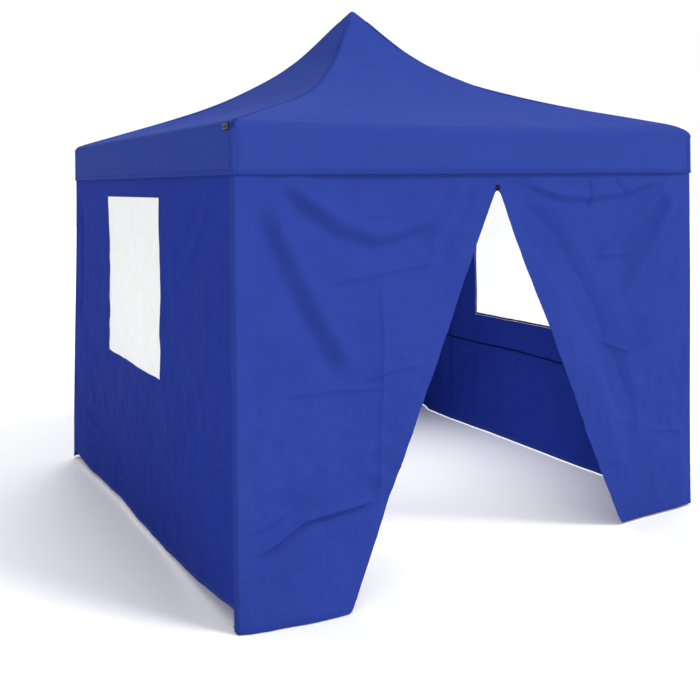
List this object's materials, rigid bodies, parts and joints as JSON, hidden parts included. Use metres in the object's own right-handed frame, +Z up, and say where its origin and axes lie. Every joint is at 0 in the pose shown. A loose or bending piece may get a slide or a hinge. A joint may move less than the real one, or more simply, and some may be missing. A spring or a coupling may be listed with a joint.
{
  "type": "pop up gazebo",
  "caption": "Square folding gazebo with a pagoda roof on scissor trusses and telescoping legs, cloth side walls with windows, and a front door folded open in a V.",
  "frame": {"origin": "middle of the square footprint, on the ground under the foot plates", "axes": "+Z up; +X along the front from its left corner to its right corner as seen from outside; +Y from the front to the back"},
  "size_m": [3, 3, 3.1472],
  "materials": {
    "frame_steel": "satin",
    "black_plastic": "satin",
    "blue_cloth": "satin",
    "clear_film": "gloss"
  },
  "bodies": {
    "front_left_leg_outer": {"front_left_leg_outer": "frame_steel", "canopy": "blue_cloth", "wall_left": "blue_cloth", "wall_front": "blue_cloth", "window_left": "clear_film", "door_flap_left": "blue_cloth", "door_flap_right": "blue_cloth"},
    "front_left_leg_inner": {"front_left_leg_inner": "frame_steel"},
    "front_left_leg_button": {"front_left_leg_button": "black_plastic"},
    "front_left_slider": {"front_left_slider": "black_plastic"},
    "back_left_leg_outer": {"back_left_leg_outer": "frame_steel", "wall_back": "blue_cloth"},
    "back_left_leg_inner": {"back_left_leg_inner": "frame_steel"},
    "back_left_leg_button": {"back_left_leg_button": "black_plastic"},
    "back_left_slider": {"back_left_slider": "black_plastic"},
    "front_right_leg_outer": {"front_right_leg_outer": "frame_steel", "wall_right": "blue_cloth", "window_right": "clear_film"},
    "front_right_leg_inner": {"front_right_leg_inner": "frame_steel"},
    "front_right_leg_button": {"front_right_leg_button": "black_plastic"},
    "front_right_slider": {"front_right_slider": "black_plastic"},
    "back_right_leg_outer": {"back_right_leg_outer": "frame_steel"},
    "back_right_leg_inner": {"back_right_leg_inner": "frame_steel"},
    "back_right_leg_button": {"back_right_leg_button": "black_plastic"},
    "back_right_slider": {"back_right_slider": "black_plastic"},
    "left_near_down_bar": {"left_near_down_bar": "frame_steel"},
    "left_near_up_bar": {"left_near_up_bar": "frame_steel"},
    "left_far_down_bar": {"left_far_down_bar": "frame_steel"},
    "left_far_up_bar": {"left_far_up_bar": "frame_steel"},
    "left_mid_top_bracket": {"left_mid_top_bracket": "black_plastic"},
    "left_mid_low_bracket": {"left_mid_low_bracket": "black_plastic"},
    "inner_left_down_bar": {"inner_left_down_bar": "frame_steel"},
    "inner_left_up_bar": {"inner_left_up_bar": "frame_steel"},
    "front_near_down_bar": {"front_near_down_bar": "frame_steel"},
    "front_near_up_bar": {"front_near_up_bar": "frame_steel"},
    "front_far_down_bar": {"front_far_down_bar": "frame_steel"},
    "front_far_up_bar": {"front_far_up_bar": "frame_steel"},
    "front_mid_top_bracket": {"front_mid_top_bracket": "black_plastic"},
    "front_mid_low_bracket": {"front_mid_low_bracket": "black_plastic"},
    "inner_front_down_bar": {"inner_front_down_bar": "frame_steel"},
    "inner_front_up_bar": {"inner_front_up_bar": "frame_steel"},
    "back_near_down_bar": {"back_near_down_bar": "frame_steel"},
    "back_near_up_bar": {"back_near_up_bar": "frame_steel"},
    "back_far_down_bar": {"back_far_down_bar": "frame_steel"},
    "back_far_up_bar": {"back_far_up_bar": "frame_steel"},
    "back_mid_top_bracket": {"back_mid_top_bracket": "black_plastic"},
    "back_mid_low_bracket": {"back_mid_low_bracket": "black_plastic"},
    "inner_back_down_bar": {"inner_back_down_bar": "frame_steel"},
    "inner_back_up_bar": {"inner_back_up_bar": "frame_steel"},
    "right_near_down_bar": {"right_near_down_bar": "frame_steel"},
    "right_near_up_bar": {"right_near_up_bar": "frame_steel"},
    "right_far_down_bar": {"right_far_down_bar": "frame_steel"},
    "right_far_up_bar": {"right_far_up_bar": "frame_steel"},
    "right_mid_top_bracket": {"right_mid_top_bracket": "black_plastic"},
    "right_mid_low_bracket": {"right_mid_low_bracket": "black_plastic"},
    "inner_right_down_bar": {"inner_right_down_bar": "frame_steel"},
    "inner_right_up_bar": {"inner_right_up_bar": "frame_steel"},
    "hub_top": {"hub_top": "black_plastic"},
    "hub_low": {"hub_low": "black_plastic"},
    "mast": {"mast": "frame_steel"}
  },
  "joints": [
    {"name": "fold", "type": "hinge", "parent": "front_left_leg_outer", "child": "left_near_down_bar", "pos_m": [-1.462, -1.42, 2.235], "axis": [-1, 0, 0], "range_deg": [0, 76], "deforming": ["canopy", "wall_left", "wall_front", "wall_back", "wall_right", "window_left", "window_right", "door_flap_left", "door_flap_right"]},
    {"name": "left_near_up_bar_pivot", "type": "hinge", "parent": "left_near_down_bar", "child": "left_near_up_bar", "pos_m": [-1.462, -0.725, 2.105], "axis": [1, 0, 0], "range_deg": [0, 152]},
    {"name": "left_mid_low_bracket_pivot", "type": "hinge", "parent": "left_near_down_bar", "child": "left_mid_low_bracket", "pos_m": [-1.462, -0.03, 1.975], "axis": [1, 0, 0], "range_deg": [0, 76]},
    {"name": "left_mid_top_bracket_pivot", "type": "hinge", "parent": "left_near_up_bar", "child": "left_mid_top_bracket", "pos_m": [-1.462, -0.03, 2.235], "axis": [1, 0, 0], "range_deg": [-76, 0]},
    {"name": "front_left_slider_pivot", "type": "hinge", "parent": "left_near_up_bar", "child": "front_left_slider", "pos_m": [-1.462, -1.42, 1.975], "axis": [1, 0, 0], "range_deg": [-76, 0]},
    {"name": "left_far_up_bar_pivot", "type": "hinge", "parent": "left_mid_low_bracket", "child": "left_far_up_bar", "pos_m": [-1.462, 0.03, 1.975], "axis": [1, 0, 0], "range_deg": [0, 76]},
    {"name": "left_far_down_bar_pivot", "type": "hinge", "parent": "left_far_up_bar", "child": "left_far_down_bar", "pos_m": [-1.462, 0.725, 2.105], "axis": [1, 0, 0], "range_deg": [-152, 0]},
    {"name": "back_left_leg_outer_pivot", "type": "hinge", "parent": "left_far_up_bar", "child": "back_left_leg_outer", "pos_m": [-1.462, 1.42, 2.235], "axis": [1, 0, 0], "range_deg": [-76, 0]},
    {"name": "back_left_slider_pivot", "type": "hinge", "parent": "left_far_down_bar", "child": "back_left_slider", "pos_m": [-1.462, 1.42, 1.975], "axis": [1, 0, 0], "range_deg": [0, 76]},
    {"name": "front_near_down_bar_pivot", "type": "hinge", "parent": "front_left_leg_outer", "child": "front_near_down_bar", "pos_m": [-1.42, -1.462, 2.235], "axis": [0, -1, 0], "range_deg": [-76, 0]},
    {"name": "front_near_up_bar_pivot", "type": "hinge", "parent": "front_near_down_bar", "child": "front_near_up_bar", "pos_m": [-0.725, -1.462, 2.105], "axis": [0, -1, 0], "range_deg": [0, 152]},
    {"name": "front_mid_low_bracket_pivot", "type": "hinge", "parent": "front_near_down_bar", "child": "front_mid_low_bracket", "pos_m": [-0.03, -1.462, 1.975], "axis": [0, -1, 0], "range_deg": [0, 76]},
    {"name": "front_mid_top_bracket_pivot", "type": "hinge", "parent": "front_near_up_bar", "child": "front_mid_top_bracket", "pos_m": [-0.03, -1.462, 2.235], "axis": [0, -1, 0], "range_deg": [-76, 0]},
    {"name": "front_far_up_bar_pivot", "type": "hinge", "parent": "front_mid_low_bracket", "child": "front_far_up_bar", "pos_m": [0.03, -1.462, 1.975], "axis": [0, -1, 0], "range_deg": [0, 76]},
    {"name": "front_far_down_bar_pivot", "type": "hinge", "parent": "front_far_up_bar", "child": "front_far_down_bar", "pos_m": [0.725, -1.462, 2.105], "axis": [0, -1, 0], "range_deg": [-152, 0]},
    {"name": "front_right_leg_outer_pivot", "type": "hinge", "parent": "front_far_up_bar", "child": "front_right_leg_outer", "pos_m": [1.42, -1.462, 2.235], "axis": [0, -1, 0], "range_deg": [-76, 0]},
    {"name": "front_right_slider_pivot", "type": "hinge", "parent": "front_far_down_bar", "child": "front_right_slider", "pos_m": [1.42, -1.462, 1.975], "axis": [0, -1, 0], "range_deg": [0, 76]},
    {"name": "back_near_down_bar_pivot", "type": "hinge", "parent": "back_left_leg_outer", "child": "back_near_down_bar", "pos_m": [-1.42, 1.462, 2.235], "axis": [0, -1, 0], "range_deg": [-76, 0]},
    {"name": "back_near_up_bar_pivot", "type": "hinge", "parent": "back_near_down_bar", "child": "back_near_up_bar", "pos_m": [-0.725, 1.462, 2.105], "axis": [0, -1, 0], "range_deg": [0, 152]},
    {"name": "back_mid_low_bracket_pivot", "type": "hinge", "parent": "back_near_down_bar", "child": "back_mid_low_bracket", "pos_m": [-0.03, 1.462, 1.975], "axis": [0, -1, 0], "range_deg": [0, 76]},
    {"name": "back_mid_top_bracket_pivot", "type": "hinge", "parent": "back_near_up_bar", "child": "back_mid_top_bracket", "pos_m": [-0.03, 1.462, 2.235], "axis": [0, -1, 0], "range_deg": [-76, 0]},
    {"name": "back_far_up_bar_pivot", "type": "hinge", "parent": "back_mid_low_bracket", "child": "back_far_up_bar", "pos_m": [0.03, 1.462, 1.975], "axis": [0, -1, 0], "range_deg": [0, 76]},
    {"name": "back_far_down_bar_pivot", "type": "hinge", "parent": "back_far_up_bar", "child": "back_far_down_bar", "pos_m": [0.725, 1.462, 2.105], "axis": [0, -1, 0], "range_deg": [-152, 0]},
    {"name": "back_right_leg_outer_pivot", "type": "hinge", "parent": "back_far_up_bar", "child": "back_right_leg_outer", "pos_m": [1.42, 1.462, 2.235], "axis": [0, -1, 0], "range_deg": [-76, 0]},
    {"name": "back_right_slider_pivot", "type": "hinge", "parent": "back_far_down_bar", "child": "back_right_slider", "pos_m": [1.42, 1.462, 1.975], "axis": [0, -1, 0], "range_deg": [0, 76]},
    {"name": "right_near_down_bar_pivot", "type": "hinge", "parent": "front_right_leg_outer", "child": "right_near_down_bar", "pos_m": [1.462, -1.42, 2.235], "axis": [1, 0, 0], "range_deg": [-76, 0]},
    {"name": "right_near_up_bar_pivot", "type": "hinge", "parent": "right_near_down_bar", "child": "right_near_up_bar", "pos_m": [1.462, -0.725, 2.105], "axis": [1, 0, 0], "range_deg": [0, 152]},
    {"name": "right_mid_low_bracket_pivot", "type": "hinge", "parent": "right_near_down_bar", "child": "right_mid_low_bracket", "pos_m": [1.462, -0.03, 1.975], "axis": [1, 0, 0], "range_deg": [0, 76]},
    {"name": "right_mid_top_bracket_pivot", "type": "hinge", "parent": "right_near_up_bar", "child": "right_mid_top_bracket", "pos_m": [1.462, -0.03, 2.235], "axis": [1, 0, 0], "range_deg": [-76, 0]},
    {"name": "right_far_up_bar_pivot", "type": "hinge", "parent": "right_mid_low_bracket", "child": "right_far_up_bar", "pos_m": [1.462, 0.03, 1.975], "axis": [1, 0, 0], "range_deg": [0, 76]},
    {"name": "right_far_down_bar_pivot", "type": "hinge", "parent": "right_far_up_bar", "child": "right_far_down_bar", "pos_m": [1.462, 0.725, 2.105], "axis": [1, 0, 0], "range_deg": [-152, 0]},
    {"name": "inner_left_up_bar_pivot", "type": "hinge", "parent": "left_mid_low_bracket", "child": "inner_left_up_bar", "pos_m": [-1.426, 0, 1.975], "axis": [0, -1, 0], "range_deg": [0, 76]},
    {"name": "inner_left_down_bar_pivot", "type": "hinge", "parent": "inner_left_up_bar", "child": "inner_left_down_bar", "pos_m": [-0.731, 0, 2.105], "axis": [0, -1, 0], "range_deg": [-152, 0]},
    {"name": "hub_top_pivot", "type": "hinge", "parent": "inner_left_up_bar", "child": "hub_top", "pos_m": [-0.036, 0, 2.235], "axis": [0, -1, 0], "range_deg": [-76, 0]},
    {"name": "hub_low_pivot", "type": "hinge", "parent": "inner_left_down_bar", "child": "hub_low", "pos_m": [-0.036, 0, 1.975], "axis": [0, -1, 0], "range_deg": [0, 76]},
    {"name": "inner_front_up_bar_pivot", "type": "hinge", "parent": "front_mid_low_bracket", "child": "inner_front_up_bar", "pos_m": [0, -1.426, 1.975], "axis": [1, 0, 0], "range_deg": [0, 76]},
    {"name": "inner_front_down_bar_pivot", "type": "hinge", "parent": "inner_front_up_bar", "child": "inner_front_down_bar", "pos_m": [0, -0.731, 2.105], "axis": [1, 0, 0], "range_deg": [-152, 0]},
    {"name": "inner_back_up_bar_pivot", "type": "hinge", "parent": "back_mid_low_bracket", "child": "inner_back_up_bar", "pos_m": [0, 1.426, 1.975], "axis": [-1, 0, 0], "range_deg": [0, 76]},
    {"name": "inner_back_down_bar_pivot", "type": "hinge", "parent": "inner_back_up_bar", "child": "inner_back_down_bar", "pos_m": [0, 0.731, 2.105], "axis": [-1, 0, 0], "range_deg": [-152, 0]},
    {"name": "inner_right_up_bar_pivot", "type": "hinge", "parent": "right_mid_low_bracket", "child": "inner_right_up_bar", "pos_m": [1.426, 0, 1.975], "axis": [0, 1, 0], "range_deg": [0, 76]},
    {"name": "inner_right_down_bar_pivot", "type": "hinge", "parent": "inner_right_up_bar", "child": "inner_right_down_bar", "pos_m": [0.731, 0, 2.105], "axis": [0, 1, 0], "range_deg": [-152, 0]},
    {"name": "mast_slide", "type": "slide", "parent": "hub_top", "child": "mast", "axis": [0, 0, -1], "range_m": [0, 0.8]},
    {"name": "front_left_leg_slide", "type": "slide", "parent": "front_left_leg_outer", "child": "front_left_leg_inner", "axis": [0, 0, 1], "range_m": [0, 0.7]},
    {"name": "front_left_button_press", "type": "slide", "parent": "front_left_leg_outer", "child": "front_left_leg_button", "axis": [-1, 0, 0], "range_m": [0, 0.006], "stiffness_N_per_m": 600, "springref_m": -0.002},
    {"name": "back_left_leg_slide", "type": "slide", "parent": "back_left_leg_outer", "child": "back_left_leg_inner", "axis": [0, 0, 1], "range_m": [0, 0.7]},
    {"name": "back_left_button_press", "type": "slide", "parent": "back_left_leg_outer", "child": "back_left_leg_button", "axis": [-1, 0, 0], "range_m": [0, 0.006], "stiffness_N_per_m": 600, "springref_m": -0.002},
    {"name": "front_right_leg_slide", "type": "slide", "parent": "front_right_leg_outer", "child": "front_right_leg_inner", "axis": [0, 0, 1], "range_m": [0, 0.7]},
    {"name": "front_right_button_press", "type": "slide", "parent": "front_right_leg_outer", "child": "front_right_leg_button", "axis": [1, 0, 0], "range_m": [0, 0.006], "stiffness_N_per_m": 600, "springref_m": -0.002},
    {"name": "back_right_leg_slide", "type": "slide", "parent": "back_right_leg_outer", "child": "back_right_leg_inner", "axis": [0, 0, 1], "range_m": [0, 0.7]},
    {"name": "back_right_button_press", "type": "slide", "parent": "back_right_leg_outer", "child": "back_right_leg_button", "axis": [1, 0, 0], "range_m": [0, 0.006], "stiffness_N_per_m": 600, "springref_m": -0.002}
  ],
  "couplings": [
    {"joint": "left_near_up_bar_pivot", "follows": "fold", "ratio": 2},
    {"joint": "left_mid_low_bracket_pivot", "follows": "fold", "ratio": 1},
    {"joint": "left_mid_top_bracket_pivot", "follows": "fold", "ratio": -1},
    {"joint": "front_left_slider_pivot", "follows": "fold", "ratio": -1},
    {"joint": "left_far_up_bar_pivot", "follows": "fold", "ratio": 1},
    {"joint": "left_far_down_bar_pivot", "follows": "fold", "ratio": -2},
    {"joint": "back_left_leg_outer_pivot", "follows": "fold", "ratio": -1},
    {"joint": "back_left_slider_pivot", "follows": "fold", "ratio": 1},
    {"joint": "front_near_down_bar_pivot", "follows": "fold", "ratio": -1},
    {"joint": "front_near_up_bar_pivot", "follows": "fold", "ratio": 2},
    {"joint": "front_mid_low_bracket_pivot", "follows": "fold", "ratio": 1},
    {"joint": "front_mid_top_bracket_pivot", "follows": "fold", "ratio": -1},
    {"joint": "front_far_up_bar_pivot", "follows": "fold", "ratio": 1},
    {"joint": "front_far_down_bar_pivot", "follows": "fold", "ratio": -2},
    {"joint": "front_right_leg_outer_pivot", "follows": "fold", "ratio": -1},
    {"joint": "front_right_slider_pivot", "follows": "fold", "ratio": 1},
    {"joint": "back_near_down_bar_pivot", "follows": "fold", "ratio": -1},
    {"joint": "back_near_up_bar_pivot", "follows": "fold", "ratio": 2},
    {"joint": "back_mid_low_bracket_pivot", "follows": "fold", "ratio": 1},
    {"joint": "back_mid_top_bracket_pivot", "follows": "fold", "ratio": -1},
    {"joint": "back_far_up_bar_pivot", "follows": "fold", "ratio": 1},
    {"joint": "back_far_down_bar_pivot", "follows": "fold", "ratio": -2},
    {"joint": "back_right_leg_outer_pivot", "follows": "fold", "ratio": -1},
    {"joint": "back_right_slider_pivot", "follows": "fold", "ratio": 1},
    {"joint": "right_near_down_bar_pivot", "follows": "fold", "ratio": -1},
    {"joint": "right_near_up_bar_pivot", "follows": "fold", "ratio": 2},
    {"joint": "right_mid_low_bracket_pivot", "follows": "fold", "ratio": 1},
    {"joint": "right_mid_top_bracket_pivot", "follows": "fold", "ratio": -1},
    {"joint": "right_far_up_bar_pivot", "follows": "fold", "ratio": 1},
    {"joint": "right_far_down_bar_pivot", "follows": "fold", "ratio": -2},
    {"joint": "inner_left_up_bar_pivot", "follows": "fold", "ratio": 1},
    {"joint": "inner_left_down_bar_pivot", "follows": "fold", "ratio": -2},
    {"joint": "hub_top_pivot", "follows": "fold", "ratio": -1},
    {"joint": "hub_low_pivot", "follows": "fold", "ratio": 1},
    {"joint": "inner_front_up_bar_pivot", "follows": "fold", "ratio": 1},
    {"joint": "inner_front_down_bar_pivot", "follows": "fold", "ratio": -2},
    {"joint": "inner_back_up_bar_pivot", "follows": "fold", "ratio": 1},
    {"joint": "inner_back_down_bar_pivot", "follows": "fold", "ratio": -2},
    {"joint": "inner_right_up_bar_pivot", "follows": "fold", "ratio": 1},
    {"joint": "inner_right_down_bar_pivot", "follows": "fold", "ratio": -2},
    {"joint": "mast_slide", "follows": "fold", "m_per_rad": 0.603}
  ]
}
